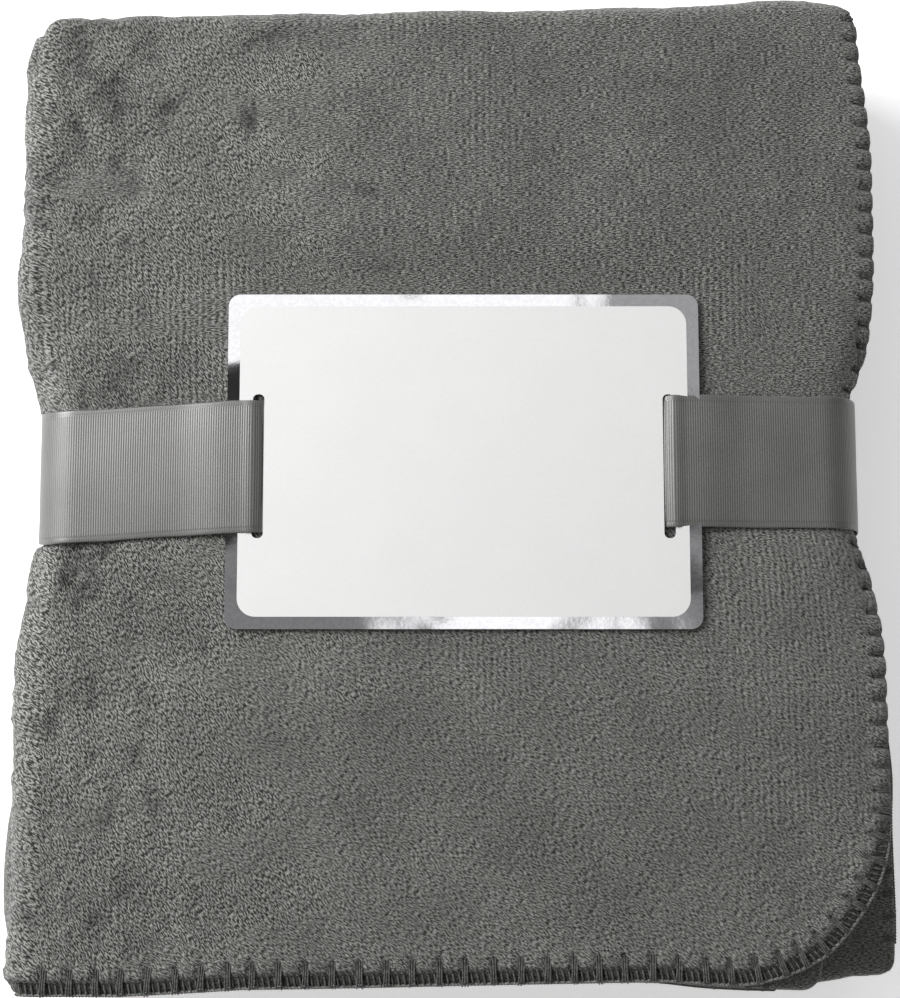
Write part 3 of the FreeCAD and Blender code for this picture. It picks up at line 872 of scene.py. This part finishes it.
def make_top_ply():
    """The uppermost ply, in two pieces that meet under the ribbon."""
    seam = RIBBON_Y - EDGE_FOOT
    fold = np.linspace(RUN_END, TOP_LEAF_END, 26)[1:]
    across = np.concatenate([EDGE_CLOSE, even(2.6, RUN_END, TOP_STEP), fold])
    foot = np.concatenate([EDGE_CLOSE, even(2.6, seam, TOP_STEP)])
    fold = np.linspace(PLY_RUN_EDGE, TOP_PLY_END, 14)[1:]
    head = np.concatenate([even(seam, PLY_RUN_EDGE, TOP_STEP), fold])
    return (
        cloth_piece("throw_top_ply_foot", across, foot, FLEECE_TOP, True),
        cloth_piece("throw_top_ply_head", across, head, FLEECE_TOP, True),
    )


def make_leaves():
    """The plies under the uppermost one, and the five leaves below."""
    across = sheet_lines(STRIP_STEPS, 9.0, RUN_CLOSE, TURN_PARTS, last=2)
    near = even(0, 64, 1.6)
    across = np.unique(np.round(np.concatenate([EDGE_CLOSE, near, across[across > 64]]), 4))
    along = width_lines(5.0, TOP_PLY_END)
    top = cloth_piece("throw_top_leaf", across, along, FLEECE_UNDER_SHADED, False)
    across = sheet_lines(STRIP_STEPS, 13.0, RUN_CLOSE, TURN_PARTS, first=2)
    along = np.concatenate([[0.0], width_lines(6.5, 0.4)])
    rest = cloth_piece("throw_lower_leaves", across, along, FLEECE_UNDER_SHADED, False)
    return top, rest


top_foot, top_head = make_top_ply()
top_leaf, lower_leaves = make_leaves()


# ---- yarn

def tubes(name, strands, radius, material):
    """Closed yarn strands in one mesh. A strand is a path and a direction it never runs along."""
    sides = 6
    points, faces, start = [], [], 0
    angle = (np.arange(sides) * 2 * math.pi / sides)[None, :, None]
    for path, away in strands:
        onward = unit(np.gradient(path, axis=0))
        first = unit(np.cross(onward, away))[:, None]
        second = np.cross(onward, first[:, 0])[:, None]
        ring = path[:, None] + radius * (np.cos(angle) * first + np.sin(angle) * second)
        count = len(path)
        index = start + np.arange(count * sides).reshape(count, sides)
        beside = np.roll(index, -1, axis=1)
        wall = np.stack([index[:-1], beside[:-1], beside[1:], index[1:]], -1).reshape(-1, 4)
        a, b = index[0], index[-1]
        caps = [[a[0], a[3], a[2], a[1]], [a[0], a[5], a[4], a[3]],
                [b[0], b[1], b[2], b[3]], [b[0], b[3], b[4], b[5]]]
        points.append(ring.reshape(-1, 3))
        faces += [wall, np.array(caps)]
        start += count * sides
    return mesh_object(name, np.concatenate(points), np.concatenate(faces), material)


def yarn_at(place, s, d, height):
    """A point of the yarn, d in from the edge and height above the ply's middle.

    With it come the edge's direction and the direction up from the cloth.
    """
    s, d, height = np.broadcast_arrays(np.asarray(s, float), d, height)
    held = np.maximum(d, 0.0)
    near = place(s, held)
    inward = unit(place(s, held + 2.5) - near)
    onward = unit(place(s + 0.8, held) - place(s - 0.8, held))
    up = unit(np.cross(onward, inward))
    up = np.where(up[..., 2:] < 0, -up, up)
    return near + inward * np.minimum(d, 0.0)[..., None] + up * height[..., None], onward, up


def half_tucked(s):
    """The lower plies' stitches are half tucked in all along."""
    return 0.0 * s + 0.5


def blanket_stitch(place, stitches, start, end, reach, draw, hidden):
    """Bars of three strands, the wrap round the edge, a row of loops and two running yarns.

    hidden tells how far the stitches are tucked in under the edge at s, from 0 to 1.
    """
    strands, rim_strands = [], []

    def lay(row, s, d, height, away=2):
        made = yarn_at(place, s, d, height)
        row.append((made[0], made[away]))

    for at in stitches:
        tucked = float(hidden(at))
        lean, long = draw.uniform(-0.5, 0.5), reach - 3.4 * tucked + draw.uniform(-0.7, 0.5)
        for strand in (-0.74, 0.0, 0.74):
            part = np.linspace(0, 1, 12)
            d = long + draw.uniform(-0.3, 0.3) - part * (long + 0.7)
            s = at + strand * (1.1 - 0.25 * np.sin(part * math.pi)) + lean * (1 - part)
            s = s - 1.1 * tucked * (1 - part)
            height = 0.95 + 0.125 * np.sin(part * 7 + strand) - 1.5 * smooth((0.12 - part) / 0.12)
            height = height + 0.75 * smooth((4.6 - d) / 1.0) - 2.2 * smooth((0.5 - d) / 1.2)
            height, d = height - 0.85 * tucked, d + 0.6 * tucked * part
            lay(strands, s, d, height, away=1)
    turns = (end - start) / LOOP_PITCH
    turn = np.linspace(0, turns, int(turns * 14))
    loop = turn * 2 * math.pi
    s = start + turn * LOOP_PITCH + 0.75 * np.cos(loop) + 0.25 * noise(turn / 3.1, 4.5, 63)
    tucked = hidden(s)
    d = 1.6 + 1.9 * np.cos(loop) + 0.2 * noise(turn / 2.3, 0.5, 61) + 1.2 * tucked
    swing = 1.05 + 0.12 * noise(turn / 1.7, 2.5, 62) - 0.35 * tucked
    height = swing * np.sin(loop) - 0.9 * tucked
    lay(strands, s, d, height, away=1)
    s = np.arange(start, end, 0.42)
    wave = s / LOOP_PITCH * 2 * math.pi
    d = 3.55 + 0.4 * np.sin(wave)
    height = 1.0 + 0.2 * np.cos(wave) - 1.7 * hidden(s)
    lay(strands, s, d, height)
    # Two running yarns close the edge outside the loops.
    for phase in (0.0, math.pi):
        s = np.arange(start, end, 0.4)
        wave = s / RIM_PITCH * 2 * math.pi + phase
        d = -0.3 + 0.22 * np.sin(wave) + 0.3 * hidden(s)
        height = 0.3 + 0.3 * np.cos(wave) - 1.4 * hidden(s)
        lay(rim_strands, s, d, height)
    return strands, rim_strands


def top_place(s, d):
    """A point of the uppermost ply's middle, s along its edge and d in from it."""
    x, y, in_x, in_y = on_edge(s)
    x, y = x + in_x * d, y + in_y * d
    for side_x, side_y, radius in SOFT_CORNERS[:3]:
        x, y = soft_corner(x, y, side_x, side_y, radius)
    z = PACK_TOP - LEAF / 2 + OUTER_PLY + 0 * x
    return settle(x, y, z, EDGE_RIGHT - x, y - EDGE_FOOT, OUTER_PLY + 0 * x)[0]


def last_place(s, d):
    """The same of the last ply of the top leaf, from the corner along the foot edge."""
    return cloth_middle(s, SHEET_WIDTH - d)[0]


def third_place(s, d):
    """The same of the ply under that, up the side from the foot."""
    start = PLY_RUN_EDGE + HEAD_OUTER_ARC + PLY_RUN + INNER_ARC
    return cloth_middle(d, start + s)[0]


def make_stitching():
    """The yarn on the top ply, on its rim, and on the two plies that show under it."""
    draw = np.random.RandomState(9)
    strands, rim_strands = blanket_stitch(
        top_place, STITCHES, 0.5, EDGE_LENGTH, TOP_REACH, draw, side_share
    )
    top = tubes("stitching_top", strands, YARN_RADIUS, YARN)
    edge = tubes("stitching_rim", rim_strands, RIM_RADIUS, YARN_RIM_HIGHLIGHT)
    end, end_rim = blanket_stitch(
        last_place, np.arange(20, 90, 7.4), 16.0, 92.0, UNDER_REACH, draw, half_tucked
    )
    side, side_rim = blanket_stitch(
        third_place, np.arange(9, 118, 6.8), 7.0, 118.0, UNDER_REACH, draw, half_tucked
    )
    under = tubes("stitching_under", end + end_rim + side + side_rim, YARN_RADIUS, YARN)
    return top, edge, under


stitching_top, stitching_rim, stitching_under = make_stitching()


# ---- ribbon

def ribbon_piece(name, path):
    """A closed strip along a path in X and Z, whose left side, going on, is the outer side."""
    path = np.asarray(path, float)
    onward = unit(np.gradient(path, axis=0))
    out_x, out_z = -onward[:, 1], onward[:, 0]
    run = np.concatenate([[0.0], np.cumsum(np.linalg.norm(np.diff(path, axis=0), axis=1))])
    side = np.array([0.3, 0.6, 0.85, 0.95, 0.985, 1.0])
    share = np.concatenate([-side[::-1], [0.0], side])
    x, share_grid = np.meshgrid(path[:, 0], share, indexing="ij")
    crown = 0.5 * (1 - share_grid**2) * smooth((118 - np.abs(x)) / 25)
    front = smooth((path[:, 1] - 40) / 20)[:, None]
    off_card = smooth(np.maximum(CARD_LOW[0] - x, x - CARD_HIGH[0]) / 6.0)
    wave = 0.12 + 0.16 * off_card * noise(run[:, None] / 14.0, share_grid * 1.6 + 5, 71)
    half = RIBBON_HALF - 0.25 + 0.15 * noise(run[:, None] / 6.0, np.sign(share_grid) * 3.0, 72)
    lift = (crown + wave) * front
    thick = RIBBON_THICK / 2 * (1 - 0.35 * (np.abs(share_grid) > 0.99))
    y = RIBBON_Y + half * share_grid + sway(x) * front
    sides = []
    for sign in (1, -1):
        rise = lift + sign * thick
        z = path[:, 1:] + out_z[:, None] * rise
        sides.append(np.stack([x + out_x[:, None] * rise, y, z], -1).reshape(-1, 3))
    uv = np.stack([np.broadcast_to(run[:, None], y.shape), half * share_grid], -1).reshape(-1, 2)
    faces = shell_faces(*y.shape)[:, ::-1]
    return mesh_object(name, np.concatenate(sides), faces, GROSGRAIN, np.concatenate([uv, uv]))


def ribbon_level(x):
    """Height of the ribbon's middle on the front, with its step down from card to cloth."""
    away = np.maximum(CARD_LOW[0] - x, x - CARD_HIGH[0])
    return FRONT_MIDDLE - 0.9 * smooth((away - 1) / 14) - waist_crown(x)


def band_path(side, slot_x, bottom):
    """From a card slot over the front, round the side and along the back to the lap's end."""
    half = WAIST_HALF + RIBBON_THICK / 2 + (LEFT_SLACK if side < 0 else 0.0)
    flat_end = half - WAIST_ROUND
    start = abs(slot_x)
    points = [
        (start - 1.6, BEHIND_MIDDLE + 0.05),
        (start - 0.4, BEHIND_MIDDLE + 0.35),
        (start + 0.8, FRONT_MIDDLE - 0.35),
        (start + 2.0, FRONT_MIDDLE - 0.05),
    ]
    points += [(x, ribbon_level(x * side)) for x in even(start + 3.5, flat_end, 2.2)]
    corner = ribbon_level(flat_end * side)
    turn = WAIST_ROUND
    for angle in np.linspace(0, math.pi / 2, 14)[1:]:
        points.append((flat_end + turn * math.sin(angle), corner - turn * (1 - math.cos(angle))))
    points += [(half, z) for z in np.linspace(corner - turn, bottom + turn, 10)[1:-1]]
    for angle in np.linspace(0, math.pi / 2, 12):
        points.append((flat_end + turn * math.cos(angle), bottom + turn * (1 - math.sin(angle))))
    points += [(x, bottom) for x in even(flat_end, LAP_END, 6.0)[1:]]
    return np.array(points) * (side, 1)


def make_ribbon():
    """The ribbon's left and right runs, which lap at the back, and the run behind the card."""
    inner = WAIST_LOW - RIBBON_THICK / 2
    between = even(BEHIND_LOW[0] + 1.6, BEHIND_HIGH[0] - 1.6, 4.0)
    left = band_path(-1, BEHIND_LOW[0], inner)
    right = band_path(1, BEHIND_HIGH[0], inner - LAP_DROP)
    return (
        ribbon_piece("ribbon_left_run", left[::-1]),
        ribbon_piece("ribbon_right_run", right),
        ribbon_piece("ribbon_behind", [(x, BEHIND_MIDDLE) for x in between]),
    )


ribbon_left, ribbon_right, ribbon_behind = make_ribbon()


# ---- card

def repaint(node, material):
    """Gives a CAD node's object a new material in every slot."""
    slots = frame["nodes"][node].data.materials
    for index in range(len(slots)):
        slots[index] = material
    if not len(slots):
        slots.append(material)


repaint("card_board", paper_material("card_board", (0.78, 0.78, 0.76)))
repaint("card_foil", foil_material())
repaint("card_print", paper_material("card_print", (0.72, 0.72, 0.715)))
repaint("ribbon_tape", tape_material())


# ---- bodies


def bend_at_corner(piece):
    """Bakes a piece's placement into its mesh."""
    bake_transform(piece)


for piece in (top_foot, stitching_top, stitching_rim):
    bend_at_corner(piece)
for piece in (top_head, top_leaf, lower_leaves, stitching_under):
    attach(piece, "blanket")
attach(ribbon_behind, "card")
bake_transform(ribbon_left)
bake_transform(ribbon_right)

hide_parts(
    "cloth_leaf_2", "cloth_leaf_3", "cloth_leaf_4", "cloth_leaf_5", "cloth_leaf_6"
)
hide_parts("cloth_leaf_1")
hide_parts("top_ply")
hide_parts("corner_flap")
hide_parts("edge_yarn_side", "edge_yarn_end", "edge_yarn_corner")
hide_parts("ribbon_left")
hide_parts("ribbon_right")
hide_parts("ribbon_behind_card")


# ---- floor, light and camera

CAMERA_DISTANCE = 600.0
CAMERA_Y = -4.9
# The scale changes by this share for each millimetre up the view.
KEYSTONE = 0.000233
IMAGE_HEIGHT = 998
PIXELS_PER_MM = 3.397
SENSOR = 36.0
FLOOR_HALF = 9.0
KEY_PLACE, KEY_AIM = (-0.62, 0.34, 0.60), (0.0, 0.0, 0.05)
KEY_SIZE, KEY_POWER = 0.5, 9.6


def make_floor():
    half = FLOOR_HALF
    corners = [(-half, -half, 0), (half, -half, 0), (half, half, 0), (-half, half, 0)]
    mesh = bpy.data.meshes.new("floor")
    mesh.from_pydata(corners, [], [(0, 1, 2, 3)])
    floor = bpy.data.objects.new("floor", mesh)
    bpy.context.scene.collection.objects.link(floor)
    m = new_material("floor")
    floor.data.materials.append(m.finish(
        Base_Color=(0.90, 0.90, 0.90, 1), Roughness=0.8,
        Emission_Color=(1.0, 1.0, 1.0, 1), Emission_Strength=0.42,
    ))


def make_key_light():
    light = bpy.data.lights.new("key", "AREA")
    light.size = KEY_SIZE
    light.energy = KEY_POWER
    lamp = bpy.data.objects.new("key", light)
    lamp.location = KEY_PLACE
    aim = mathutils.Vector(KEY_AIM) - mathutils.Vector(KEY_PLACE)
    lamp.rotation_euler = aim.to_track_quat("-Z", "Y").to_euler()
    bpy.context.scene.collection.objects.link(lamp)


def make_world():
    """Soft light from all round, stronger from the upper left, and patches for the foil to mirror.

    across and along say where a patch is overhead: how far a direction leans to X and to Y for
    each unit that it rises.
    """
    world = bpy.data.worlds.new("studio")
    bpy.context.scene.world = world
    m = Shader(world)
    place = m.node("ShaderNodeTexCoord").outputs["Generated"]
    parts = m.split(place)
    up = m.math("MAXIMUM", parts[2], 0.05)
    across, along = m.math("DIVIDE", parts[0], up), m.math("DIVIDE", parts[1], up)
    side = m.vector("DOT_PRODUCT", place, (-0.86, 0.44, 0.24))["Value"]
    around = m.span(side, -0.75, 0.95, 0.06, 0.82)
    head = m.times(m.span(along, 0.198, 0.215), m.span(across, 0.078, 0.1, 1.15, 0.0))
    right = m.times(m.span(across, 0.085, 0.1), m.span(along, 0.105, 0.16, 0.04, 0.37))
    lit = m.times(m.span(across, -0.035, -0.005), m.span(across, 0.070, 0.088, 1.0, 0.0))
    foot = m.span(along, 0.100, 0.120, 1.0, 0.0)
    foot = m.times(foot, m.math("MULTIPLY_ADD", lit, 0.98, 0.22))
    overhead = m.math("MAXIMUM", m.math("MAXIMUM", head, right), foot)
    overhead = m.math("MAXIMUM", overhead, 0.025)
    away = m.node("ShaderNodeCombineXYZ", {0: across, 1: along}).outputs[0]
    share = m.span(m.vector("LENGTH", away)["Value"], 0.27, 0.42)
    strength = m.blend(share, overhead, around)
    # A white horizon closes the floor off in low views.
    horizon = m.span(parts[2], 0.03, 0.15, 0.97, 0.0)
    background = m.tree.nodes["Background"].inputs
    m.feed(background["Strength"], m.math("MAXIMUM", strength, horizon))
    m.feed(background["Color"], (1.0, 1.0, 1.0, 1.0))


def make_camera():
    tilt = math.asin(KEYSTONE * CAMERA_DISTANCE)
    distance = CAMERA_DISTANCE * MM
    back, up = distance * math.sin(tilt), distance * math.cos(tilt)
    data = bpy.data.cameras.new("camera")
    camera = bpy.data.objects.new("camera", data)
    camera.location = (0.0, CAMERA_Y * MM - back, RIBBON_FRONT * MM + up)
    camera.rotation_euler = (tilt, 0.0, 0.0)
    data.sensor_width = SENSOR
    data.lens = PIXELS_PER_MM * CAMERA_DISTANCE * SENSOR / IMAGE_HEIGHT
    data.clip_start = 0.01
    bpy.context.scene.collection.objects.link(camera)
    bpy.context.scene.camera = camera


make_floor()
make_world()
make_key_light()
make_camera()
bpy.context.scene.view_settings.view_transform = "Standard"
